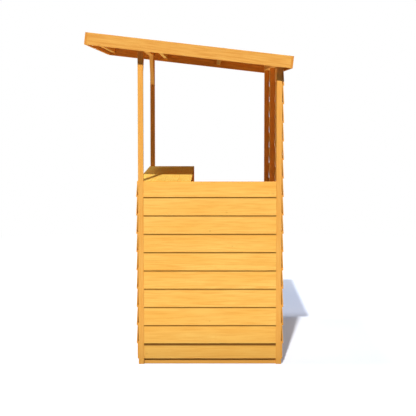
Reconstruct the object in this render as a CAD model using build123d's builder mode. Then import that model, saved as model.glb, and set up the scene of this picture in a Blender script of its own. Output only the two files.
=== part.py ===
from build123d import *
import os
from math import asin, ceil, cos, radians, sin, tan

# A free-standing timber garden bar with a mono-pitch roof that falls to the back.
# +X is the bar's right as seen from the front, the front faces -Y, and the ground is z = 0.
# The origin is on the ground, under the middle of the roof.

# Frame over the corner posts
frame_length = 1800.0
frame_depth = 900.0
post_size = 34.0
frame_size = 34.0
arris = 1.5

# Roof
roof_front_height = 2080.0
roof_pitch = radians(6.55)
front_overhang = 315.0
back_overhang = 67.0
side_overhang = 85.0
roof_board_depth = 70.0
roof_board_thickness = 15.0
felt_set_down = 1.0
felt_thickness = 2.0
deck_thickness = 10.0
batten_width = 28.0
batten_depth = 39.0
batten_count = 4
front_batten_inset = 34.0
back_batten_inset = 43.0

# Front beam with its knee braces, and the back wall's top rail, all hung under the deck
beam_depth = 41.0
back_top_rail_depth = 47.0
brace_size = 28.0
brace_leg = 213.0

# Overlap cladding: each board lies on the one below it and touches the frame at its top edge
board_thickness = 6.0
board_lap = 10.0
course_pitch = 115.75
first_board_height = 35.0
first_lap_height = 132.0
back_cladding_clearance = 6.0

# Half-height walls and counter
side_wall_height = 1153.0
side_cladding_set_back = 10.0
side_bottom_rail_set_back = 8.0
counter_height = 1157.5
counter_thickness = 18.0
counter_front_nosing = 7.0
counter_depth = 340.0
counter_edge_radius = 3.0
apron_depth = 120.0
apron_thickness = 15.0
back_rail_height = 950.0

# Places worked out from the sizes above
half_length = frame_length / 2
roof_run = front_overhang + frame_depth + back_overhang
roof_length = roof_run / cos(roof_pitch)
roof_nose = roof_board_depth * sin(roof_pitch)
roof_front = roof_nose - (roof_run + roof_nose) / 2
front_face = roof_front + front_overhang
back_face = front_face + frame_depth
front_inner = front_face + post_size
back_inner = back_face - post_size
post_inner = half_length - post_size
side_plane = half_length - side_cladding_set_back
side_inner = side_plane - frame_size
deck_top = felt_set_down + felt_thickness
deck_underside = deck_top + deck_thickness
roof_inner_x = half_length + side_overhang - roof_board_thickness
counter_underside = counter_height - counter_thickness
counter_front = front_face - counter_front_nosing
counter_back = counter_front + counter_depth

batten_underside = deck_underside + batten_depth
last_batten_edge = roof_length - back_batten_inset + batten_width / 2


def height_in_roof(y, drop):
    """Height of a plane that lies the given depth under the roof's top, at a place from front to back."""
    return roof_front_height - (y - roof_front) * tan(roof_pitch) - drop / cos(roof_pitch)


beam_underside = height_in_roof(front_face, deck_underside) - beam_depth
back_rail_underside = height_in_roof(back_inner, deck_underside) - back_top_rail_depth
back_batten_y = roof_front + last_batten_edge * cos(roof_pitch)
back_cladding_height = height_in_roof(back_batten_y, batten_underside) - back_cladding_clearance

board_tilt = asin(board_thickness / course_pitch)
board_width = course_pitch * cos(board_tilt) + board_lap
board_height = board_width * cos(board_tilt)

roof_plane = Plane(
    origin=(0, roof_front, roof_front_height),
    x_dir=(1, 0, 0),
    z_dir=(0, sin(roof_pitch), cos(roof_pitch)),
)
deck_seat = roof_plane.offset(-deck_underside)

os.makedirs("parts", exist_ok=True)


def save(piece, name):
    piece.part.label = name
    export_step(piece.part, f"parts/{name}.step")


def timber(x, y, z, grain):
    """A square-cut length of planed timber between pairs of x, y and z, with eased long edges."""
    with BuildPart() as piece:
        with BuildSketch(Plane.XY.offset(z[0])):
            with Locations(((x[0] + x[1]) / 2, (y[0] + y[1]) / 2)):
                Rectangle(x[1] - x[0], y[1] - y[0])
        extrude(amount=z[1] - z[0])
        chamfer(piece.edges().filter_by(grain), length=arris)
    return piece


def cladding(face, length, top_height):
    """Overlap boards up a wall, drawn as their end view on its face plane and run along the wall."""
    lap_out = board_width * sin(board_tilt)
    seat_out = board_thickness * cos(board_tilt)
    seat_height = first_lap_height + board_lap * cos(board_tilt)
    across = board_thickness * sin(board_tilt)
    courses = ceil((top_height - first_lap_height - board_height) / course_pitch) + 1
    with BuildPart() as boards:
        with BuildSketch(face):
            with BuildLine():
                Polyline(
                    (0, first_board_height),
                    (lap_out, first_board_height),
                    (lap_out, first_lap_height),
                    (seat_out, seat_height),
                    (0, seat_height),
                    close=True,
                )
            make_face()
            for course in range(courses):
                low = first_lap_height + course * course_pitch
                high = low + board_height
                with BuildLine():
                    Polyline(
                        (lap_out, low),
                        (lap_out + seat_out, low + across),
                        (seat_out, high + across),
                        (0, high),
                        close=True,
                    )
                make_face()
            with Locations((0, top_height)):
                Rectangle(4 * seat_out, 2 * course_pitch,
                          align=(Align.CENTER, Align.MIN), mode=Mode.SUBTRACT)
        extrude(amount=length)
    return boards


def wall_timber(name, x, y, z, grain):
    save(timber(x, y, z, grain), name)


# Corner posts, from the ground to the underside of the roof deck
post_ends = {"front": (front_face, front_inner), "back": (back_inner, back_face)}
post_sides = {"right": (post_inner, half_length), "left": (-half_length, -post_inner)}
for end, y_span in post_ends.items():
    for side, x_span in post_sides.items():
        with BuildPart() as post:
            add(timber(x_span, y_span, (0, roof_front_height), Axis.Z).part)
            split(bisect_by=deck_seat, keep=Keep.BOTTOM)
        save(post, f"{end}_{side}_post")

# Front wall frame, between the front posts
between_posts = (-post_inner, post_inner)
middle_stud = (-frame_size / 2, frame_size / 2)
bottom_rail = (0, frame_size)
front_frame = (front_face, front_face + frame_size)
low_rail_seat = counter_underside - frame_size
wall_timber("front_wall_bottom_rail", between_posts, front_frame, bottom_rail, Axis.X)
wall_timber("front_wall_stud", middle_stud, front_frame, (frame_size, low_rail_seat), Axis.Z)
wall_timber("front_wall_top_rail", between_posts, front_frame, (low_rail_seat, counter_underside), Axis.X)

# Back wall frame, between the back posts and up to the deck
back_frame = (back_face - frame_size, back_face)
stile_inner = post_inner - frame_size
wall_timber("back_wall_bottom_rail", between_posts, back_frame, bottom_rail, Axis.X)
back_upright = (frame_size, back_rail_underside)
wall_timber("back_wall_right_stile", (stile_inner, post_inner), back_frame, back_upright, Axis.Z)
wall_timber("back_wall_left_stile", (-post_inner, -stile_inner), back_frame, back_upright, Axis.Z)
wall_timber("back_wall_stud", middle_stud, back_frame, back_upright, Axis.Z)
middle_rail = (back_rail_height - frame_size / 2, back_rail_height + frame_size / 2)
wall_timber("back_wall_right_middle_rail", (frame_size / 2, stile_inner), back_frame, middle_rail, Axis.X)
wall_timber("back_wall_left_middle_rail", (-stile_inner, -frame_size / 2), back_frame, middle_rail, Axis.X)
with BuildPart() as back_top_rail:
    add(timber(between_posts, back_frame, (back_rail_underside, roof_front_height), Axis.X).part)
    split(bisect_by=deck_seat, keep=Keep.BOTTOM)
save(back_top_rail, "back_wall_top_rail")

# Right wall frame: its top rail is cut away where the counter is let into it
side_frame = (side_inner, side_plane)
side_run = (front_inner, back_inner)
side_bottom = (side_inner - side_bottom_rail_set_back, side_plane - side_bottom_rail_set_back)
side_stud = ((front_inner + back_inner - frame_size) / 2, (front_inner + back_inner + frame_size) / 2)
side_rail_seat = side_wall_height - frame_size
wall_timber("right_wall_bottom_rail", side_bottom, side_run, bottom_rail, Axis.Y)
wall_timber("right_wall_stud", side_frame, side_stud, (frame_size, side_rail_seat), Axis.Z)
with BuildPart() as right_top_rail:
    add(timber(side_frame, side_run, (side_rail_seat, side_wall_height), Axis.Y).part)
    with BuildSketch(Plane.XY.offset(counter_underside)):
        with Locations((side_inner, front_inner)):
            Rectangle(frame_size, counter_back - front_inner, align=Align.MIN)
    extrude(amount=counter_thickness, mode=Mode.SUBTRACT)
save(right_top_rail, "right_wall_top_rail")

# Left return: a short wall that carries the open end of the counter
return_frame = (-side_plane, -side_inner)
return_bottom = (-side_plane + side_bottom_rail_set_back, -side_inner + side_bottom_rail_set_back)
return_run = (front_inner, counter_back)
wall_timber("left_return_bottom_rail", return_bottom, return_run, bottom_rail, Axis.Y)
wall_timber("left_return_stud", return_frame, (counter_back - frame_size, counter_back),
            (frame_size, low_rail_seat), Axis.Z)
wall_timber("left_return_top_rail", return_frame, return_run, (low_rail_seat, counter_underside), Axis.Y)

# Cladding: outside the posts at front and back, and butted between them at the sides
front_plane = Plane(origin=(half_length, front_face, 0), x_dir=(0, -1, 0), z_dir=(-1, 0, 0))
save(cladding(front_plane, frame_length, counter_underside), "front_wall_boards")
back_plane = Plane(origin=(-half_length, back_face, 0), x_dir=(0, 1, 0), z_dir=(1, 0, 0))
save(cladding(back_plane, frame_length, back_cladding_height), "back_wall_boards")
right_plane = Plane(origin=(side_plane, back_inner, 0), x_dir=(1, 0, 0), z_dir=(0, -1, 0))
save(cladding(right_plane, back_inner - front_inner, side_wall_height), "right_wall_boards")
left_plane = Plane(origin=(-side_plane, front_inner, 0), x_dir=(-1, 0, 0), z_dir=(0, 1, 0))
save(cladding(left_plane, counter_back - front_inner, side_wall_height), "left_return_boards")

# Counter top, cut round the front posts, and the apron under its inner edge
with BuildPart() as counter_top:
    with BuildSketch(Plane.XY.offset(counter_underside)):
        with Locations((0, counter_front)):
            Rectangle(2 * side_plane, counter_depth, align=(Align.CENTER, Align.MIN))
        for x_span in post_sides.values():
            with Locations(((x_span[0] + x_span[1]) / 2, (front_face + front_inner) / 2)):
                Rectangle(post_size, post_size, mode=Mode.SUBTRACT)
    extrude(amount=counter_thickness)
    top_edges = counter_top.faces().sort_by(Axis.Z)[-1].edges().filter_by(Axis.X).sort_by(Axis.Y)
    fillet((top_edges[0], top_edges[-1]), radius=counter_edge_radius)
save(counter_top, "counter_top")
wall_timber("counter_apron", (-side_inner, side_inner), (counter_back - apron_thickness, counter_back),
            (counter_underside - apron_depth, counter_underside), Axis.X)

# Front beam between the posts, with a knee brace at each end
with BuildPart() as front_beam:
    add(timber(between_posts, front_frame, (beam_underside, roof_front_height), Axis.X).part)
    split(bisect_by=deck_seat, keep=Keep.BOTTOM)
save(front_beam, "front_beam")

brace_cut = brace_size / cos(radians(45))
brace_plane = Plane.XZ.offset(-(front_face + (post_size + brace_size) / 2))
for side, hand in (("right", 1), ("left", -1)):
    with BuildPart() as brace:
        with BuildSketch(brace_plane):
            with BuildLine():
                Polyline(
                    (hand * post_inner, beam_underside - brace_leg),
                    (hand * post_inner, beam_underside - brace_leg + brace_cut),
                    (hand * (post_inner - brace_leg + brace_cut), beam_underside),
                    (hand * (post_inner - brace_leg), beam_underside),
                    close=True,
                )
            make_face()
        extrude(amount=brace_size)
        chamfer(brace.edges().filter_by(Axis((0, 0, 0), (-hand, 0, 1))), length=arris)
    save(brace, f"{side}_brace")


def roof_timber(name, x, run, drop, grain):
    """A roof piece between pairs of x, distance down the slope, and depth below the roof's top."""
    with BuildPart() as piece:
        with BuildSketch(roof_plane.offset(-drop[0])):
            with Locations(((x[0] + x[1]) / 2, (run[0] + run[1]) / 2)):
                Rectangle(x[1] - x[0], run[1] - run[0])
        extrude(amount=drop[0] - drop[1])
        if grain is not None:
            long_edges = piece.edges().filter_by(grain)
            chamfer(long_edges, length=arris)
    save(piece, name)


# Roof: battens under a boarded deck, edged by barge boards and fascias
down_slope = Axis((0, roof_front, roof_front_height), roof_plane.y_dir)
roof_inner = (-roof_inner_x, roof_inner_x)
roof_outer_x = roof_inner_x + roof_board_thickness
deck_run = (roof_board_thickness, roof_length - roof_board_thickness)
board_drop = (0, roof_board_depth)
batten_pitch = (roof_length - front_batten_inset - back_batten_inset) / (batten_count - 1)
batten_names = ("front_batten", "front_middle_batten", "back_middle_batten", "back_batten")
for index, name in enumerate(batten_names):
    middle = front_batten_inset + index * batten_pitch
    batten_run = (middle - batten_width / 2, middle + batten_width / 2)
    roof_timber(name, roof_inner, batten_run, (deck_underside, batten_underside), Axis.X)
roof_timber("roof_deck", roof_inner, deck_run, (deck_top, deck_underside), None)
roof_timber("roof_felt", roof_inner, deck_run, (felt_set_down, deck_top), None)
roof_timber("right_barge_board", (roof_inner_x, roof_outer_x), deck_run, board_drop, down_slope)
roof_timber("left_barge_board", (-roof_outer_x, -roof_inner_x), deck_run, board_drop, down_slope)
roof_timber("front_fascia", (-roof_outer_x, roof_outer_x), (0, roof_board_thickness), board_drop, Axis.X)
roof_timber("back_fascia", (-roof_outer_x, roof_outer_x), (roof_length - roof_board_thickness, roof_length),
            board_drop, Axis.X)
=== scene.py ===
import math
import random

import bmesh
import bpy
from mathutils import Euler, Matrix, Vector


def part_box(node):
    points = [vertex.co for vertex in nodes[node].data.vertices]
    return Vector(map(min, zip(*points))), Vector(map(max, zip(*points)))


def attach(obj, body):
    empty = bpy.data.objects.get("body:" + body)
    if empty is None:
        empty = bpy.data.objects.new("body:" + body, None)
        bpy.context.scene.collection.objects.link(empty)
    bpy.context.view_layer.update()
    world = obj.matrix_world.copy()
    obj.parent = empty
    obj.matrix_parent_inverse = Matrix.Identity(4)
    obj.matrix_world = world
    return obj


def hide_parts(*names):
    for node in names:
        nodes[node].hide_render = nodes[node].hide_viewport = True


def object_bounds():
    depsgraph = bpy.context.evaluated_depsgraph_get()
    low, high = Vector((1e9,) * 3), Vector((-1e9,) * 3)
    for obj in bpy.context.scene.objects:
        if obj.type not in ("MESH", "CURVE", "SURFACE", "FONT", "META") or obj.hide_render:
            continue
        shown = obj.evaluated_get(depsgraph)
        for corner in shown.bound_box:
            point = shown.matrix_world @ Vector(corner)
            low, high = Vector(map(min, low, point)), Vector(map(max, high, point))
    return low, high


# Looks of the timber garden bar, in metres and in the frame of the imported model
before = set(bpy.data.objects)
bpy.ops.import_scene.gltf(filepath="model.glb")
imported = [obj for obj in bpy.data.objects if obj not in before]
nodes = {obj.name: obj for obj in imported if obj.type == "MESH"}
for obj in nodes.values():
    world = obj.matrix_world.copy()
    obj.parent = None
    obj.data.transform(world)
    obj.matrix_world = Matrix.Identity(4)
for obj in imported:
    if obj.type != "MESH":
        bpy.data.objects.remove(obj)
cadLow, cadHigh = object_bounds()
print("frame loaded:", len(nodes), "nodes")


def corner(node, end, axis):
    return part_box(node)[end]["xyz".index(axis)]


low, high = 0, 1

# The roof's slope: it falls to the back over its whole run
roofPitch = math.radians(6.55)
packedEdgeDepth = 0.070
downSlope = Vector((0, math.cos(roofPitch), -math.sin(roofPitch)))
roofNormal = Vector((0, math.sin(roofPitch), math.cos(roofPitch)))
roofFrontY = corner("front_fascia", low, "y") + packedEdgeDepth * math.sin(roofPitch)
roofFront = Vector((0, roofFrontY, cadHigh.z))


# One output socket of a node tree, on which sums are written as Python expressions
class Wire:
    def __init__(self, tree, node=None, output=0):
        self.tree = tree
        self.node = node
        self.socket = node.outputs[output] if node and len(node.outputs) else None

    # Any node: its settings come first, then the values or links of its sockets
    def make(self, kind, settings=None, inputs=None, output=0):
        node = self.tree.nodes.new(kind)
        for name, value in (settings or {}).items():
            if name == "stops":
                ramp = node.color_ramp
                while len(ramp.elements) < len(value):
                    ramp.elements.new(1.0)
                for element, (position, colour) in zip(ramp.elements, value):
                    element.position = position
                    element.color = colour
            else:
                setattr(node, name, value)
        for name, value in (inputs or {}).items():
            if isinstance(value, Wire):
                self.tree.links.new(value.socket, node.inputs[name])
            else:
                node.inputs[name].default_value = value
        return Wire(self.tree, node, output)

    def out(self, output):
        return Wire(self.tree, self.node, output)

    def maths(self, operation, *values, clamp=False):
        settings = {"operation": operation, "use_clamp": clamp}
        return self.make("ShaderNodeMath", settings, dict(enumerate(values)))

    def __add__(self, other):
        return self.maths("ADD", self, other)

    def __radd__(self, other):
        return self.maths("ADD", other, self)

    def __sub__(self, other):
        return self.maths("SUBTRACT", self, other)

    def __rsub__(self, other):
        return self.maths("SUBTRACT", other, self)

    def __mul__(self, other):
        return self.maths("MULTIPLY", self, other)

    def __rmul__(self, other):
        return self.maths("MULTIPLY", other, self)

    def __truediv__(self, other):
        return self.maths("DIVIDE", self, other)

    def __pow__(self, other):
        return self.maths("POWER", self, other)

    def __gt__(self, other):
        return self.maths("GREATER_THAN", self, other)

    def __lt__(self, other):
        return self.maths("LESS_THAN", self, other)

    def vector(self, x, y, z):
        return self.make("ShaderNodeCombineXYZ", None, {"X": x, "Y": y, "Z": z})

    def parts(self):
        split = self.make("ShaderNodeSeparateXYZ", None, {"Vector": self})
        return [split.out(axis) for axis in ("X", "Y", "Z")]

    def dot(self, direction):
        values = {0: self, 1: tuple(direction)}
        return self.make("ShaderNodeVectorMath", {"operation": "DOT_PRODUCT"}, values, "Value")

    def seenRays(self):
        rays = self.make("ShaderNodeLightPath")
        return rays.out("Is Camera Ray") + rays.out("Is Glossy Ray") + rays.out("Is Transmission Ray")

    def cloud(self, place, detail, roughness=0.5, output="Fac"):
        values = {"Vector": place, "Scale": 1.0, "Detail": detail, "Roughness": roughness}
        return self.make("ShaderNodeTexNoise", None, values, output)

    def blend(self, first, second, factor):
        settings = {"data_type": "RGBA", "blend_type": "MIX", "clamp_factor": True}
        return self.make("ShaderNodeMix", settings, {0: factor, 6: first, 7: second}, 2)


def paint(red, green, blue):
    def linear(value):
        value = value / 255
        return value / 12.92 if value <= 0.04045 else ((value + 0.055) / 1.055) ** 2.4

    return (linear(red), linear(green), linear(blue), 1.0)


def newMaterial(name):
    material = bpy.data.materials.new(name)
    material.use_nodes = True
    tree = material.node_tree
    tree.nodes.clear()
    shader = tree.nodes.new("ShaderNodeBsdfPrincipled")
    output = tree.nodes.new("ShaderNodeOutputMaterial")
    tree.links.new(shader.outputs[0], output.inputs["Surface"])
    return material, shader, Wire(tree)


def plug(wire, shader, name):
    wire.tree.links.new(wire.socket, shader.inputs[name])


# Camera: on the bar's right, a little over eye level, aimed slightly down
view = {
    "place": (8.9455, 0.116, 1.6761),
    "tiltDown": 4.325,
    "lens": 111.58,
    "lift": -0.03,
    "sensor": 36,
    "clipEnd": 200,
}
camera = bpy.data.objects.new("camera", bpy.data.cameras.new("camera"))
bpy.context.scene.collection.objects.link(camera)
camera.location = view["place"]
camera.rotation_euler = (math.radians(90 - view["tiltDown"]), 0, math.radians(90))
camera.data.sensor_width = view["sensor"]
camera.data.lens = view["lens"]
camera.data.shift_y = view["lift"]
camera.data.clip_end = view["clipEnd"]
bpy.context.scene.camera = camera
bpy.context.scene.view_settings.view_transform = "Standard"
print("camera placed")

# Light: a warm key from the right above, a cool soft sky, and fills for the sides that the key misses
coolWhite, plainWhite = (0.94, 0.99, 1.08), (1.0, 1.0, 1.0)
lamps = {
    "keyLight": {"path": (-1.0, 0.13, -1.0), "power": 4.0, "softness": 1.2, "colour": (1.0, 0.98, 0.94)},
    "frontFill": {"path": (0.1, 1.0, -2.4), "power": 1.3, "softness": 12, "colour": coolWhite},
    "backFill": {"path": (0.12, -1.0, -0.5), "power": 1.4, "softness": 25, "colour": coolWhite},
    "leftFill": {"path": (1.0, 0.12, -0.02), "power": 0.95, "softness": 20, "colour": plainWhite},
    "floorBounce": {"path": (0.0, 0.3, 1.0), "power": 1.7, "softness": 20, "colour": plainWhite},
}
sky = {"colour": (0.70, 0.88, 1.25, 1.0), "power": 0.13}


def sunLamp(name, look):
    data = bpy.data.lights.new(name, "SUN")
    data.energy = look["power"]
    data.angle = math.radians(look["softness"])
    data.color = look["colour"]
    lamp = bpy.data.objects.new(name, data)
    lamp.rotation_euler = Vector(look["path"]).to_track_quat("-Z", "Y").to_euler()
    bpy.context.scene.collection.objects.link(lamp)


for name, look in lamps.items():
    sunLamp(name, look)


def buildSky():
    world = bpy.data.worlds.new("studioSky")
    bpy.context.scene.world = world
    world.use_nodes = True
    tree = world.node_tree
    tree.nodes.clear()
    start = Wire(tree)
    seen = start.seenRays()
    soft = start.make("ShaderNodeBackground", None, {"Color": sky["colour"], "Strength": sky["power"]})
    white = start.make("ShaderNodeBackground", None, {"Color": (1, 1, 1, 1), "Strength": 1.0})
    mixed = start.make("ShaderNodeMixShader", None, {0: seen, 1: soft, 2: white})
    start.make("ShaderNodeOutputWorld", None, {"Surface": mixed})


buildSky()

floorLook = {
    "size": 120.0,
    "drop": 0.0004,
    "shown": paint(228, 233, 245),
    "bounce": 0.10,
    "fadeStart": 2.2,
    "fadeEnd": 7.0,
}


def buildFloor():
    half = floorLook["size"] / 2
    mesh = bpy.data.meshes.new("floor")
    corners = [(-half, -half), (half, -half), (half, half), (-half, half)]
    mesh.from_pydata([(x, y, -floorLook["drop"]) for x, y in corners], [], [(0, 1, 2, 3)])
    floor = bpy.data.objects.new("floor", mesh)
    bpy.context.scene.collection.objects.link(floor)
    # floorBounce shines up through the floor, as light does off a pale one
    floor.visible_shadow = False
    material = bpy.data.materials.new("paleFloor")
    material.use_nodes = True
    tree = material.node_tree
    tree.nodes.clear()
    start = Wire(tree)
    seen = start.seenRays()
    x, y, z = start.make("ShaderNodeTexCoord", output="Object").parts()
    distance = (x * x + y * y) ** 0.5
    reach = floorLook["fadeEnd"] - floorLook["fadeStart"]
    far = start.maths("DIVIDE", distance - floorLook["fadeStart"], reach, clamp=True)
    shown = start.make("ShaderNodeBsdfDiffuse", None, {"Color": floorLook["shown"]})
    grey = floorLook["bounce"]
    dull = start.make("ShaderNodeBsdfDiffuse", None, {"Color": (grey, grey, grey, 1)})
    white = start.make("ShaderNodeEmission", None, {"Color": (1, 1, 1, 1), "Strength": 1.0})
    faded = start.make("ShaderNodeMixShader", None, {0: far, 1: shown, 2: white})
    mixed = start.make("ShaderNodeMixShader", None, {0: seen, 1: dull, 2: faded})
    start.make("ShaderNodeOutputMaterial", None, {"Surface": mixed})
    mesh.materials.append(material)


buildFloor()
print("light and floor set")

# Pine: growth rings cut by the board, fine fibres, a few knots, darker end grain
honeyPine = {
    "pale": paint(255, 206, 108),
    "deep": paint(252, 189, 88),
    "late": paint(232, 152, 60),
    "knot": paint(150, 84, 34),
    # colour of the painted shade at the foot of the bar
    "paintedGroundShade": paint(176, 128, 58),
    # colour of the painted shade under each lap of the wall boards
    "paintedLapShade": paint(108, 68, 28),
    "lateAmount": 0.36,
    "streakAmount": 0.38,
    "knotAmount": 0.36,
    "ringWidth": 0.0042,
    "wander": 0.016,
    "knotGap": 0.42,
    "knotChance": 0.35,
    "knotSize": 0.0055,
    "roughness": 0.74,
    "sheen": 0.04,
    "bump": 0.00022,
}

# How the grain is drawn: scales are (along, across) in turns a metre
grain = {
    "fibre": (16.0, 620.0),
    "streak": (7.0, 120.0),
    "tone": (2.2, 16.0),
    "wobble": (4.0, 45.0),
    "wobbleDepth": 0.0022,
    "driftScale": 0.9,
    "logsApart": 9.0,
    "cutsApart": (31.0, 17.0),
    "boardsApart": 1.37,
    "stavesApart": 3.1,
    "pithAside": 0.07,
    "pithDepth": (0.03, 0.05),
    "knotScatter": 0.8,
    "knotSpread": 0.8,
    "knotStretch": 0.6,
    "knotLeast": 0.35,
    "knotEdge": 1.25,
    "knotRings": (0.7, 0.5),
    "swirlFall": -0.16,
    "swirlPush": 1.3,
    "ringStops": [(0.0, 0.25), (0.18, 0.0), (0.62, 0.22), (0.88, 1.0), (1.0, 0.35)],
    "toneContrast": 1.8,
    "boardTone": 0.15,
    "lateShare": (0.45, 0.9),
    "streakFrom": 0.42,
    "streakContrast": 4.0,
    "fibreContrast": 1.1,
    "seamHalfWidth": 0.0006,
    "seamAmount": 0.6,
    "faceOn": 0.8,
    "endAmount": 0.55,
    # how high and how strongly the painted shade at the foot of the bar reaches
    "groundShadeFall": 2.6,
    "groundShadeAmount": 0.5,
    "roughPlay": {"ring": 0.06, "fibre": 0.16},
    "relief": {"fibre": 0.6, "ring": 0.35, "streak": 0.3},
    "reliefStrength": 0.8,
}


def pineSurface(name, look, axes, width, centre=(0, 0, 0), turn=(0, 0, 0), perBoard=False):
    material, shader, start = newMaterial(name)
    objectPlace = start.make("ShaderNodeTexCoord", output="Object")

    def chances(number):
        values = {"W": number}
        return start.make("ShaderNodeTexWhiteNoise", {"noise_dimensions": "1D"}, values, "Color").parts()

    if perBoard:
        local = start.make("ShaderNodeAttribute", {"attribute_name": "boardPlace"}, output="Vector")
        number = start.make("ShaderNodeAttribute", {"attribute_name": "boardNumber"}, output="Fac")
        chanceA, chanceB, chanceC = chances(number * grain["boardsApart"])
        lengthwise = Vector(look["alongWorld"])
    else:
        local = start.make("ShaderNodeMapping", {"vector_type": "TEXTURE"},
                           {"Vector": objectPlace, "Location": centre, "Rotation": turn})
        chance = random.Random(name)
        chanceA, chanceB, chanceC = (chance.random() for _ in range(3))
        lengthwise = Euler(turn).to_matrix() @ Vector([float(axis == axes[0]) for axis in range(3)])
    split = local.parts()
    along, across, through = (split[axis] for axis in axes)
    seam = None
    if "stave" in look:
        place = across / look["stave"]
        index = start.maths("FLOOR", place)
        across = (place - index - 0.5) * look["stave"]
        chanceA, chanceB, chanceC = chances(index * grain["stavesApart"])
        seam = start.maths("ABSOLUTE", across) > look["stave"] / 2 - grain["seamHalfWidth"]
    cutA, cutB = grain["cutsApart"]
    along = along + (chanceA * cutA + chanceB * cutB)

    # Knots: at most one in each stretch of the board, somewhere across its width
    cell = start.make("ShaderNodeTexVoronoi", {"voronoi_dimensions": "1D"},
                      {"W": along, "Scale": 1 / look["knotGap"], "Randomness": grain["knotScatter"]})
    gapAlong = cell.out("Distance") * look["knotGap"]
    placeChance, sizeChance, hereChance = cell.out("Color").parts()
    gapAcross = across - (placeChance - 0.5) * (width * grain["knotSpread"])
    knotDistance = (gapAlong * gapAlong * grain["knotStretch"] + gapAcross * gapAcross) ** 0.5
    knotRadius = look["knotSize"] * (grain["knotLeast"] + sizeChance)
    knotHere = hereChance < look["knotChance"]
    nearness = knotDistance / knotRadius
    swirl = start.maths("EXPONENT", nearness * nearness * grain["swirlFall"]) * knotHere
    body = start.maths("SUBTRACT", grain["knotEdge"], nearness, clamp=True) * knotHere

    def stretched(kind, detail, roughness=0.5):
        lengthScale, crossScale = grain[kind]
        place = start.vector(along * lengthScale, across * crossScale, through * crossScale)
        return start.cloud(place, detail, roughness)

    # Rings round a pith that wanders behind the board
    apart = grain["logsApart"]
    driftPlace = start.vector(along * grain["driftScale"], chanceB * apart, chanceC * apart)
    drift = start.cloud(driftPlace, 1.0, output="Color").parts()
    depth, depthPlay = grain["pithDepth"]
    wander = 2 * look["wander"]
    ringAcross = across + (chanceB - 0.5) * grain["pithAside"] + (drift[0] - 0.5) * wander
    ringThrough = through + depth + chanceC * depthPlay + (drift[1] - 0.5) * wander
    wobble = stretched("wobble", 2.0)
    radius = (ringAcross * ringAcross + ringThrough * ringThrough) ** 0.5
    radius = radius + (wobble - 0.5) * grain["wobbleDepth"] + swirl * (knotRadius * grain["swirlPush"])
    phase = start.maths("FRACT", radius / look["ringWidth"])
    stops = [(at, (grey, grey, grey, 1)) for at, grey in grain["ringStops"]]
    ring = start.make("ShaderNodeValToRGB", {"stops": stops}, {"Fac": phase})

    fibre = stretched("fibre", 3.0, 0.6)
    streak = stretched("streak", 2.0)
    tone = stretched("tone", 2.0)

    boardTone = (chanceC - 0.5) * grain["boardTone"]
    toneFactor = start.maths("ADD", (tone - 0.5) * grain["toneContrast"] + 0.5, boardTone, clamp=True)
    colour = start.blend(look["pale"], look["deep"], toneFactor)
    lateLeast, lateTone = grain["lateShare"]
    late = start.maths("MULTIPLY", ring, look["lateAmount"]) * (lateLeast + tone * lateTone)
    colour = start.blend(colour, look["late"], late)
    darkStreak = start.maths("MULTIPLY", streak - grain["streakFrom"], grain["streakContrast"], clamp=True)
    colour = start.blend(colour, look["late"], darkStreak * look["streakAmount"])
    darkFibre = start.maths("MULTIPLY", fibre - 0.5, grain["fibreContrast"], clamp=True)
    colour = start.blend(colour, look["late"], darkFibre)
    if seam:
        colour = start.blend(colour, look["knot"], seam * grain["seamAmount"])
    plain, ringed = grain["knotRings"]
    knotShade = start.maths("MULTIPLY", body * (plain + ringed * ring), look["knotAmount"], clamp=True)
    colour = start.blend(colour, look["knot"], knotShade)

    # Cut ends drink more stain, and painted shade darkens the foot of the bar towards the ground
    normal = start.make("ShaderNodeNewGeometry", output="Normal")
    endGrain = start.maths("ABSOLUTE", normal.dot(lengthwise)) > grain["faceOn"]
    colour = start.blend(colour, look["late"], endGrain * grain["endAmount"])
    # painted shade: the colour grows darker towards the bottom
    height = objectPlace.parts()[2]
    paintedGroundShade = start.maths("SUBTRACT", 1.0, height * grain["groundShadeFall"], clamp=True)
    colour = start.blend(colour, look["paintedGroundShade"], paintedGroundShade * paintedGroundShade * grain["groundShadeAmount"])

    # Painted shade on the outside under each lap, standing in for the shadow the lap casts; darker and
    # wider under the lowest lap
    if "outward" in look:
        lapPlace = start.maths("FRACT", (height - cladding["firstLap"]) / cladding["pitch"] + 1.0)
        underLap = (1.0 - lapPlace) * cladding["pitch"]
        lowest = height < cladding["firstLap"]
        reach = cladding["paintedLapShade"] * (1.0 + cladding["lowestReach"] * lowest)
        paintedLapShade = start.maths("SUBTRACT", 2.0, underLap / reach, clamp=True)
        outside = normal.dot(look["outward"]) > grain["faceOn"]
        amount = cladding["paintedLapShadeAmount"] * (1.0 + cladding["lowestLapShade"] * lowest)
        colour = start.blend(colour, look["paintedLapShade"], paintedLapShade * outside * amount)
    plug(colour, shader, "Base Color")

    play, rise = grain["roughPlay"], grain["relief"]
    rough = look["roughness"] + ring * play["ring"] + (fibre - 0.5) * play["fibre"]
    plug(rough, shader, "Roughness")
    shader.inputs["Specular IOR Level"].default_value = look["sheen"]
    relief = fibre * rise["fibre"] + ring * rise["ring"] + streak * rise["streak"]
    bump = start.make("ShaderNodeBump", None,
                      {"Strength": grain["reliefStrength"], "Distance": look["bump"], "Height": relief})
    plug(bump, shader, "Normal")
    return material


# A node tree with these inputs, which gives back one geometry
def treeWithSockets(name, sockets):
    tree = bpy.data.node_groups.new(name, "GeometryNodeTree")
    for socket, kind in sockets.items():
        tree.interface.new_socket(socket, in_out="INPUT", socket_type="NodeSocket" + kind)
    tree.interface.new_socket("Geometry", in_out="OUTPUT", socket_type="NodeSocketGeometry")
    return tree, Wire(tree)


# Boards in a row: one rounded section swept along each board, leaned, repeated and trimmed at the top
swayScale, swayApart = 1.6, 5.3
roundSteps = 3


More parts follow.
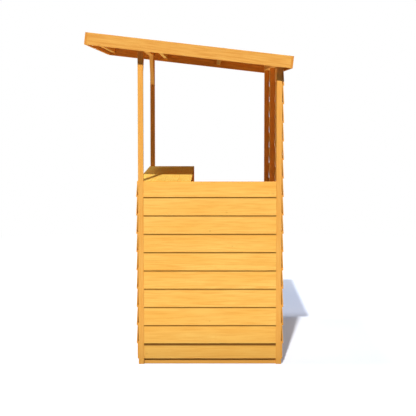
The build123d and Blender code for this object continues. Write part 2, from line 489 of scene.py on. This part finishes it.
def boardTree():
    tree, start = treeWithSockets("boardRow", {
        "Length": "Float", "Width": "Float", "Thickness": "Float", "Edge Radius": "Float",
        "Pitch": "Float", "Lean": "Float", "Step Out": "Float", "First Edge": "Float",
        "Top": "Float", "Bow": "Float", "Play": "Float", "Count": "Int", "Segments": "Int",
        "Seed": "Int", "Material": "Material",
    })
    given = start.make("NodeGroupInput")
    length, width, thickness = given.out("Length"), given.out("Width"), given.out("Thickness")

    section = start.make("GeometryNodeCurvePrimitiveQuadrilateral", None,
                         {"Width": thickness, "Height": width})
    section = start.make("GeometryNodeFilletCurve", {"mode": "POLY"},
                         {"Curve": section, "Count": roundSteps, "Radius": given.out("Edge Radius"),
                          "Limit Radius": True})
    line = start.make("GeometryNodeCurvePrimitiveLine", None,
                      {"Start": start.vector(length * -0.5, 0.0, 0.0),
                       "End": start.vector(length * 0.5, 0.0, 0.0)})
    line = start.make("GeometryNodeResampleCurve", None,
                      {"Curve": line, "Count": given.out("Segments")})
    board = start.make("GeometryNodeCurveToMesh", None,
                       {"Curve": line, "Profile Curve": section, "Fill Caps": True})
    board = start.make("GeometryNodeTransform", None,
                       {"Geometry": board,
                        "Translation": start.vector(0.0, thickness * 0.5, width * 0.5)})
    place = start.make("GeometryNodeInputPosition")
    board = start.make("GeometryNodeStoreNamedAttribute", {"data_type": "FLOAT_VECTOR"},
                       {"Geometry": board, "Name": "boardPlace", "Value": place})

    row = start.make("GeometryNodeMeshLine", None,
                     {"Count": given.out("Count"),
                      "Start Location": start.vector(0.0, given.out("Step Out"), given.out("First Edge")),
                      "Offset": start.vector(0.0, 0.0, given.out("Pitch"))})
    shift = start.make("FunctionNodeRandomValue", {"data_type": "FLOAT_VECTOR"},
                       {"Min": start.vector(given.out("Play") * -1.0, 0.0, 0.0),
                        "Max": start.vector(given.out("Play"), 0.0, 0.0), "Seed": given.out("Seed")})
    row = start.make("GeometryNodeSetPosition", None, {"Geometry": row, "Offset": shift})
    boards = start.make("GeometryNodeInstanceOnPoints", None,
                        {"Points": row, "Instance": board,
                         "Rotation": start.vector(given.out("Lean"), 0.0, 0.0)})
    index = start.make("GeometryNodeInputIndex") + given.out("Seed")
    boards = start.make("GeometryNodeStoreNamedAttribute", {"domain": "INSTANCE"},
                        {"Geometry": boards, "Name": "boardNumber", "Value": index})
    boards = start.make("GeometryNodeRealizeInstances", None, {"Geometry": boards})

    spot = start.make("GeometryNodeInputPosition").parts()
    number = start.make("GeometryNodeInputNamedAttribute", None, {"Name": "boardNumber"})
    sway = start.cloud(start.vector(spot[0] * swayScale, number * swayApart, 0.0), 1.0)
    bend = (sway - 0.5) * given.out("Bow")
    trimmed = start.maths("MINIMUM", spot[2], given.out("Top"))
    boards = start.make("GeometryNodeSetPosition", None,
                        {"Geometry": boards,
                         "Position": start.vector(spot[0], spot[1] + bend, trimmed)})
    boards = start.make("GeometryNodeSetShadeSmooth", None,
                        {"Geometry": boards, "Shade Smooth": False})
    boards = start.make("GeometryNodeSetMaterial", None,
                        {"Geometry": boards, "Material": given.out("Material")})
    start.make("NodeGroupOutput", None, {"Geometry": boards})
    return tree


# Grows a tree's geometry into a plain mesh with one material
def grown(name, tree, values, points=None):
    mesh = points or bpy.data.meshes.new(name)
    holder = bpy.data.objects.new(name, mesh)
    bpy.context.scene.collection.objects.link(holder)
    modifier = holder.modifiers.new("grow", "NODES")
    modifier.node_group = tree
    for item in tree.interface.items_tree:
        if item.item_type == "SOCKET" and item.in_out == "INPUT" and item.name in values:
            modifier[item.identifier] = values[item.name]
    ready = holder.evaluated_get(bpy.context.evaluated_depsgraph_get())
    made = bpy.data.meshes.new_from_object(ready)
    made.materials.clear()
    made.materials.append(values["Material"])
    made.polygons.foreach_set("material_index", [0] * len(made.polygons))
    holder.modifiers.clear()
    holder.data = made
    made.name = name
    return holder


# The turn and place that stand a row of boards on a wall or the roof
def standing(origin, along, outward):
    along, outward = Vector(along), Vector(outward)
    up = along.cross(outward)
    turn = Matrix((along, outward, up)).transposed().to_4x4()
    return Matrix.Translation(origin) @ turn


def joined(name, objects):
    mesh = bpy.data.meshes.new(name)
    bm = bmesh.new()
    for piece in objects:
        bm.from_mesh(piece.data)
    bm.to_mesh(mesh)
    bm.free()
    for material in objects[0].data.materials:
        mesh.materials.append(material)
    for piece in objects:
        bpy.data.objects.remove(piece)
    piece = bpy.data.objects.new(name, mesh)
    bpy.context.scene.collection.objects.link(piece)
    return piece


boardRow = boardTree()

# Overlap boards on the four clad walls
cladding = {
    "thickness": 0.006,
    "lap": 0.010,
    "pitch": 0.11575,
    "firstBoard": 0.035,
    "firstLap": 0.132,
    "edgeRadius": 0.0007,
    "bow": 0.0005,
    "play": 0.0003,
    # width and strength of the painted shade under each lap; the lowest lap gets more of both
    "paintedLapShade": 0.006,
    "paintedLapShadeAmount": 0.58,
    "lowestReach": 0.7,
    "lowestLapShade": 0.6,
    "segments": 14,
    "starterSeed": 60,
    "pinInset": 0.017,
    "pinRise": 0.014,
}
boardPins = []
boardLean = math.asin(cladding["thickness"] / cladding["pitch"])
boardWidth = cladding["pitch"] * math.cos(boardLean) + cladding["lap"]
stepOut = boardWidth * math.sin(boardLean)


def cladWall(name, node, stud, along, outward, number):
    outwardAxis = "x" if abs(outward[0]) > 0.5 else "y"
    alongAxis = "y" if outwardAxis == "x" else "x"
    end = low if outward["xy".index(outwardAxis)] > 0 else high
    face = corner(node, end, outwardAxis)
    first, last = corner(node, low, alongAxis), corner(node, high, alongAxis)
    middle = {outwardAxis: face, alongAxis: (first + last) / 2}
    place = standing((middle["x"], middle["y"], 0), along, outward)
    top = corner(node, high, "z")
    look = dict(honeyPine, alongWorld=along, outward=outward)
    material = pineSurface(name + "Pine", look, (0, 2, 1), boardWidth, perBoard=True)
    rowHeight = top - cladding["firstLap"] - boardWidth * math.cos(boardLean)
    count = math.ceil(rowHeight / cladding["pitch"]) + 1
    shared = {
        "Length": last - first - 2 * cladding["play"],
        "Thickness": cladding["thickness"],
        "Edge Radius": cladding["edgeRadius"],
        "Bow": cladding["bow"],
        "Play": cladding["play"],
        "Segments": cladding["segments"],
        "Top": top,
        "Material": material,
    }
    courses = grown(name + "Courses", boardRow, dict(
        shared, Width=boardWidth, Lean=boardLean, Pitch=cladding["pitch"], Count=count, Seed=number,
        **{"Step Out": stepOut, "First Edge": cladding["firstLap"]}))
    starterWidth = cladding["firstLap"] + cladding["lap"] - cladding["firstBoard"]
    starter = grown(name + "Starter", boardRow, dict(
        shared, Width=starterWidth, Thickness=stepOut, Bow=0.0, Count=1,
        Seed=number + cladding["starterSeed"], **{"First Edge": cladding["firstBoard"]}))
    wall = joined(name, [courses, starter])
    wall.data.transform(place)

    # Pins at both ends and on the stud, a little above each board's lower edge
    studLine = (corner(stud, low, alongAxis) + corner(stud, high, alongAxis)) / 2 - middle[alongAxis]
    endLine = (last - first) / 2 - cladding["pinInset"]
    rise = cladding["pinRise"]
    for x in (-endLine, studLine * along["xy".index(alongAxis)], endLine):
        spots = [(Vector((x, stepOut, cladding["firstBoard"] + rise)), Vector((0, 1, 0)))]
        for course in range(count):
            out = stepOut + cladding["thickness"] * math.cos(boardLean) - rise * math.sin(boardLean)
            up = cladding["firstLap"] + course * cladding["pitch"] + rise
            spots.append((Vector((x, out, up)), Vector((0, math.cos(boardLean), math.sin(boardLean)))))
        boardPins.extend((place @ spot, place.to_3x3() @ facing) for spot, facing in spots)
    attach(wall, "root")
    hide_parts(node)


cladWall("frontWallBoards", "front_wall_boards", "front_wall_stud", (-1, 0, 0), (0, -1, 0), 100)
cladWall("backWallBoards", "back_wall_boards", "back_wall_stud", (1, 0, 0), (0, 1, 0), 200)
cladWall("rightWallBoards", "right_wall_boards", "right_wall_stud", (0, -1, 0), (1, 0, 0), 300)
cladWall("leftReturnBoards", "left_return_boards", "left_return_stud", (0, 1, 0), (-1, 0, 0), 400)
print("walls clad")

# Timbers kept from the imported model: each gets its own cut of pine along its length
timberLook = dict(honeyPine, pale=paint(248, 188, 97), deep=paint(240, 173, 83),
                  knotChance=0.3, knotSize=0.005, sheen=0.0)
# The battens are coloured paler than the other timbers, as painted light bounced up onto their undersides
battenPaintedLightLook = dict(timberLook, pale=paint(255, 208, 112), deep=paint(253, 193, 92))
counterLook = dict(honeyPine, pale=paint(236, 213, 112), deep=paint(232, 200, 96),
                   sheen=0.0, stave=0.085)
widestCut = 0.35
roofTurn = (-roofPitch, 0, 0)
turns = {
    "right_brace": (0, math.radians(-45), 0),
    "left_brace": (0, math.radians(45), 0),
}
battens = ["front_batten", "front_middle_batten", "back_middle_batten", "back_batten"]
replaced = [
    "front_wall_boards", "back_wall_boards", "right_wall_boards", "left_return_boards",
    "roof_deck", "roof_felt", "right_barge_board", "left_barge_board", "front_fascia", "back_fascia",
]
for name, node in nodes.items():
    if name in replaced:
        continue
    boxLow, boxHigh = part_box(name)
    size = boxHigh - boxLow
    order = sorted(range(3), key=lambda axis: -size[axis])
    turn = roofTurn if name in battens else turns.get(name, (0, 0, 0))
    if name in turns:
        order = [2, 0, 1]
    width = min(sorted(size)[1], widestCut)
    look = counterLook if name == "counter_top" else battenPaintedLightLook if name in battens else timberLook
    material = pineSurface(name + "Pine", look, order, width, (boxLow + boxHigh) / 2, turn)
    node.data.materials.clear()
    node.data.materials.append(material)
print("timbers finished")

# Roof: match boards down the slope, edge boards round them, and mineral felt in lapped widths
edgeBoards = {
    "thickness": 0.015,
    "depth": 0.076,
    "edgeRadius": 0.0012,
}
deck = {
    "boardWidth": 0.097,
    "thickness": 0.010,
    "setDown": 0.013,
    "edgeRadius": 0.0014,
    "gap": 0.0003,
    "seed": 500,
}
noTrim, straight = 10.0, 2  # a top above every board, and a board with no section between its ends
deckRun = (corner("roof_deck", high, "y") - corner("roof_deck", low, "y")) / math.cos(roofPitch)
deckRun = deckRun - deck["thickness"] * math.tan(roofPitch)
roofSpan = corner("roof_deck", high, "x") - corner("roof_deck", low, "x")
edgeBoard = edgeBoards["thickness"]
deckLook = dict(timberLook, knotChance=0.6, knotSize=0.007,
                pale=paint(220, 162, 86), deep=paint(206, 145, 72))
edgeLook = dict(timberLook, sheen=0.02, streakAmount=0.6, lateAmount=0.5,
                pale=paint(249, 192, 100), deep=paint(236, 168, 80), late=paint(218, 138, 54))


def layDeck():
    look = dict(deckLook, alongWorld=tuple(downSlope))
    material = pineSurface("deckPine", look, (0, 2, 1), deck["boardWidth"], perBoard=True)
    count = round(roofSpan / deck["boardWidth"])
    values = {
        "Length": deckRun,
        "Width": roofSpan / count - deck["gap"],
        "Thickness": deck["thickness"],
        "Edge Radius": deck["edgeRadius"],
        "Pitch": roofSpan / count,
        "Count": count,
        "Segments": straight,
        "Top": noTrim,
        "Seed": deck["seed"],
        "Material": material,
    }
    piece = grown("deckBoards", boardRow, values)
    middle = roofFront + downSlope * (edgeBoard + deckRun / 2) - roofNormal * deck["setDown"]
    middle.x = corner("roof_deck", low, "x")
    piece.data.transform(standing(middle, downSlope, roofNormal))
    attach(piece, "root")
    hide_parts("roof_deck")


layDeck()


# Barge boards and fascias: planed, and 6 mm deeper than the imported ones, as measured
def edgeRoof(name, node, inner, along, outward, length, number):
    look = dict(edgeLook, alongWorld=tuple(along))
    values = {
        "Length": length,
        "Width": edgeBoards["depth"],
        "Thickness": edgeBoard,
        "Edge Radius": edgeBoards["edgeRadius"],
        "Count": 1,
        "Segments": straight,
        "Top": noTrim,
        "Seed": number,
        "Material": pineSurface(name + "Pine", look, (0, 2, 1), edgeBoards["depth"], perBoard=True),
    }
    piece = grown(name, boardRow, values)
    piece.data.transform(standing(inner - roofNormal * edgeBoards["depth"], along, outward))
    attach(piece, "root")
    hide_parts(node)


roofMiddle = roofFront + downSlope * (edgeBoard + deckRun / 2)
roofHalf = corner("right_barge_board", low, "x")
acrossRoof = Vector((1, 0, 0))
edgeRoof("rightBargeBoard", "right_barge_board", roofMiddle + acrossRoof * roofHalf,
         -downSlope, acrossRoof, deckRun, 700)
edgeRoof("leftBargeBoard", "left_barge_board", roofMiddle - acrossRoof * roofHalf,
         downSlope, -acrossRoof, deckRun, 710)
edgeRoof("frontFascia", "front_fascia", roofMiddle - downSlope * (deckRun / 2),
         -acrossRoof, -downSlope, 2 * (roofHalf + edgeBoard), 720)
edgeRoof("backFascia", "back_fascia", roofMiddle + downSlope * (deckRun / 2),
         acrossRoof, downSlope, 2 * (roofHalf + edgeBoard), 730)

felt = {
    "thickness": 0.002,
    "setDown": 0.003,
    "widths": 3,
    "lap": 0.06,
    "edgeRadius": 0.0006,
    "bow": 0.0012,
    "segments": 60,
    "stepShare": 0.9,
    "pale": paint(104, 106, 104),
    "dark": paint(54, 56, 57),
    "gritScale": 900.0,
    "patchScale": 5.0,
    "gritContrast": 3.2,
    "patchContrast": 0.7,
    "roughness": 0.86,
    "roughPlay": 0.2,
    "sheen": 0.3,
    "bump": 0.0008,
    "bumpStrength": 0.7,
    "patchRelief": 0.4,
    "seed": 600,
}
feltCover = (deckRun - felt["lap"]) / felt["widths"]
feltLean = math.asin(felt["thickness"] / feltCover)
feltWidth = feltCover * math.cos(feltLean) + felt["lap"]
feltStep = feltWidth * math.sin(feltLean) * felt["stepShare"]
feltFoot = roofFront + downSlope * (edgeBoard + deckRun) - roofNormal * felt["setDown"]


def feltSurface():
    material, shader, start = newMaterial("mineralFelt")
    place = start.make("ShaderNodeTexCoord", output="Object")
    x, y, z = place.parts()
    fine, broad = felt["gritScale"], felt["patchScale"]
    grit = start.cloud(start.vector(x * fine, y * fine, z * fine), 2.0, 0.7)
    patch = start.cloud(start.vector(x * broad, y * broad, z * broad), 3.0)
    patches = (patch - 0.5) * felt["patchContrast"]
    factor = start.maths("ADD", (grit - 0.5) * felt["gritContrast"] + 0.5, patches, clamp=True)
    plug(start.blend(felt["dark"], felt["pale"], factor), shader, "Base Color")
    plug(felt["roughness"] + (grit - 0.5) * felt["roughPlay"], shader, "Roughness")
    shader.inputs["Specular IOR Level"].default_value = felt["sheen"]
    relief = grit + patch * felt["patchRelief"]
    bump = start.make("ShaderNodeBump", None,
                      {"Strength": felt["bumpStrength"], "Distance": felt["bump"], "Height": relief})
    plug(bump, shader, "Normal")
    return material


def layFelt():
    values = {
        "Length": roofSpan,
        "Width": feltWidth,
        "Thickness": felt["thickness"],
        "Edge Radius": felt["edgeRadius"],
        "Pitch": feltCover,
        "Lean": feltLean,
        "Step Out": feltStep,
        "Bow": felt["bow"],
        "Count": felt["widths"],
        "Segments": felt["segments"],
        "Top": deckRun,
        "Seed": felt["seed"],
        "Material": feltSurface(),
    }
    piece = grown("feltWidths", boardRow, values)
    piece.data.transform(standing(feltFoot, (1, 0, 0), roofNormal))
    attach(piece, "root")
    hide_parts("roof_felt")


layFelt()
print("roof covered")


# Fixings: one turned head placed on many points, each facing out of its board
def fixingTree():
    tree, start = treeWithSockets("fixingHeads", {
        "Points": "Geometry", "Head": "Object", "Size Play": "Float", "Seed": "Int", "Material": "Material",
    })
    given = start.make("NodeGroupInput")
    facing = start.make("GeometryNodeInputNamedAttribute", {"data_type": "FLOAT_VECTOR"},
                        {"Name": "facing"})
    upright = start.make("FunctionNodeAlignRotationToVector", {"axis": "Z"}, {"Vector": facing})
    chance = start.make("FunctionNodeRandomValue", {"data_type": "FLOAT_VECTOR"},
                        {"Seed": given.out("Seed")}).parts()
    spin = start.vector(0.0, 0.0, chance[0] * math.tau)
    turned = start.make("FunctionNodeRotateRotation", {"rotation_space": "LOCAL"},
                        {"Rotation": upright, "Rotate By": spin})
    grow = 1.0 + (chance[1] - 0.5) * given.out("Size Play")
    head = start.make("GeometryNodeObjectInfo", {"transform_space": "ORIGINAL"},
                      {"Object": given.out("Head")}, "Geometry")
    heads = start.make("GeometryNodeInstanceOnPoints", None,
                       {"Points": given.out("Points"), "Instance": head, "Rotation": turned,
                        "Scale": start.vector(grow, grow, grow)})
    heads = start.make("GeometryNodeRealizeInstances", None, {"Geometry": heads})
    heads = start.make("GeometryNodeSetMaterial", None,
                       {"Geometry": heads, "Material": given.out("Material")})
    start.make("NodeGroupOutput", None, {"Geometry": heads})
    return tree


# A head turned from its profile of (radius, height), from the sunk rim to the middle
def turnedHead(name, profile, sides):
    bm = bmesh.new()
    rings = []
    for radius, height in profile[:-1]:
        angles = [math.tau * step / sides for step in range(sides)]
        rim = [(radius * math.cos(angle), radius * math.sin(angle), height) for angle in angles]
        rings.append([bm.verts.new(place) for place in rim])
    tip = bm.verts.new((0, 0, profile[-1][1]))
    for lower, upper in zip(rings, rings[1:]):
        for step in range(sides):
            after = (step + 1) % sides
            bm.faces.new((lower[step], lower[after], upper[after], upper[step]))
    for step in range(sides):
        bm.faces.new((rings[-1][step], rings[-1][(step + 1) % sides], tip))
    bm.faces.new(list(reversed(rings[0])))
    mesh = bpy.data.meshes.new(name)
    bm.to_mesh(mesh)
    bm.free()
    head = bpy.data.objects.new(name, mesh)
    bpy.context.scene.collection.objects.link(head)
    return head


# Fixings dulled by weather in fine patches
bloomScale, bloomRough = 240.0, 0.3


def metalSurface(name, look):
    material, shader, start = newMaterial(name)
    x, y, z = start.make("ShaderNodeTexCoord", output="Object").parts()
    bloom = start.cloud(start.vector(x * bloomScale, y * bloomScale, z * bloomScale), 3.0)
    plug(start.blend(look["dull"], look["bright"], bloom), shader, "Base Color")
    plug(look["roughness"] + (bloom - 0.5) * bloomRough, shader, "Roughness")
    shader.inputs["Metallic"].default_value = look["metallic"]
    return material


fixingHeads = fixingTree()
pinLook = {
    "profile": [(0.0015, -0.0006), (0.0015, 0.0001), (0.0011, 0.0003), (0.0, 0.0004)],
    "sides": 8,
    "sizePlay": 0.12,
    "bright": paint(226, 178, 104),
    "dull": paint(196, 146, 78),
    "metallic": 0.2,
    "roughness": 0.55,
}
screwLook = {
    "profile": [(0.0036, -0.0008), (0.0036, 0.0001), (0.0030, 0.0003), (0.0014, 0.0003),
                (0.0010, -0.0007), (0.0, -0.0007)],
    "sides": 12,
    "sizePlay": 0.04,
    "bright": paint(228, 186, 104),
    "dull": paint(188, 142, 70),
    "metallic": 0.5,
    "roughness": 0.6,
}
cloutLook = {
    "profile": [(0.0048, -0.0010), (0.0048, 0.0004), (0.0040, 0.0008), (0.0, 0.0010)],
    "sides": 12,
    "sizePlay": 0.08,
    "bright": paint(196, 200, 202),
    "dull": paint(138, 144, 148),
    "metallic": 0.8,
    "roughness": 0.5,
}


def setFixings(name, spots, look, number):
    points = bpy.data.meshes.new(name + "Points")
    points.from_pydata([spot for spot, facing in spots], [], [])
    facings = points.attributes.new("facing", "FLOAT_VECTOR", "POINT")
    facings.data.foreach_set("vector", [part for spot, facing in spots for part in facing])
    head = turnedHead(name + "Head", look["profile"], look["sides"])
    piece = grown(name, fixingHeads, {
        "Head": head,
        "Size Play": look["sizePlay"],
        "Seed": number,
        "Material": metalSurface(name + "Metal", look),
    }, points)
    bpy.data.objects.remove(head)
    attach(piece, "root")


setFixings("boardPins", boardPins, pinLook, 800)

# Pins of the roof's edge: into each batten end, and through the fascias into the barge boards
edgePins = []
pinDrops = (0.018, 0.050)
for name in battens:
    middle = (corner(name, low, "y") + corner(name, high, "y")) / 2
    run = (middle - roofFront.y) / downSlope.y
    for side in (-1, 1):
        for drop in pinDrops:
            spot = roofFront + downSlope * run - roofNormal * drop
            spot.x = side * (roofHalf + edgeBoard)
            edgePins.append((spot, Vector((side, 0, 0))))
fasciaRuns = {0.0: -downSlope, 2 * edgeBoard + deckRun: downSlope}
for run, facing in fasciaRuns.items():
    for side in (-1, 1):
        for drop in pinDrops:
            spot = roofFront + downSlope * run - roofNormal * drop
            spot.x = side * (roofHalf + edgeBoard / 2)
            edgePins.append((spot, facing))
setFixings("roofEdgePins", edgePins, pinLook, 810)

# Screws of the counter top, into the front wall's top rail and the apron
counterFixing = {
    "screws": 7,
    "endInset": 0.030,
    "halfRail": 0.017,
    "halfApron": 0.0075,
}
counterScrews = []
counterTop = corner("counter_top", high, "z")
frontLine = corner("front_wall_top_rail", low, "y") + counterFixing["halfRail"]
backLine = corner("counter_apron", low, "y") + counterFixing["halfApron"]
endLine = corner("counter_top", high, "x") - counterFixing["endInset"]
for line in (frontLine, backLine):
    for step in range(counterFixing["screws"]):
        x = -endLine + 2 * endLine * step / (counterFixing["screws"] - 1)
        counterScrews.append((Vector((x, line, counterTop)), Vector((0, 0, 1))))
setFixings("counterScrews", counterScrews, screwLook, 820)

# Clouts of the felt: along its edges and its two laps
clouts = {
    "gap": 0.13,
    "inset": 0.013,
}
feltClouts = []


def feltSpot(x, up):
    course = min(int(up / feltCover), felt["widths"] - 1)
    out = felt["thickness"] + feltStep - (up - course * feltCover) * math.sin(feltLean)
    spot = feltFoot - downSlope * up + roofNormal * out
    spot.x = x
    return spot, roofNormal


edgeX = roofSpan / 2 - clouts["inset"]
acrossCount = round(2 * edgeX / clouts["gap"])
cloutRows = [course * feltCover + clouts["inset"] for course in range(felt["widths"])]
for up in cloutRows + [deckRun - clouts["inset"]]:
    for step in range(acrossCount + 1):
        feltClouts.append(feltSpot(-edgeX + 2 * edgeX * step / acrossCount, up))
sideRun = deckRun - 2 * clouts["inset"]
upCount = round(sideRun / clouts["gap"])
for step in range(1, upCount):
    up = clouts["inset"] + sideRun * step / upCount
    feltClouts.append(feltSpot(-edgeX, up))
    feltClouts.append(feltSpot(edgeX, up))
setFixings("feltClouts", feltClouts, cloutLook, 830)
print("fixings set:", len(boardPins), "pins on the walls,", len(feltClouts), "clouts")
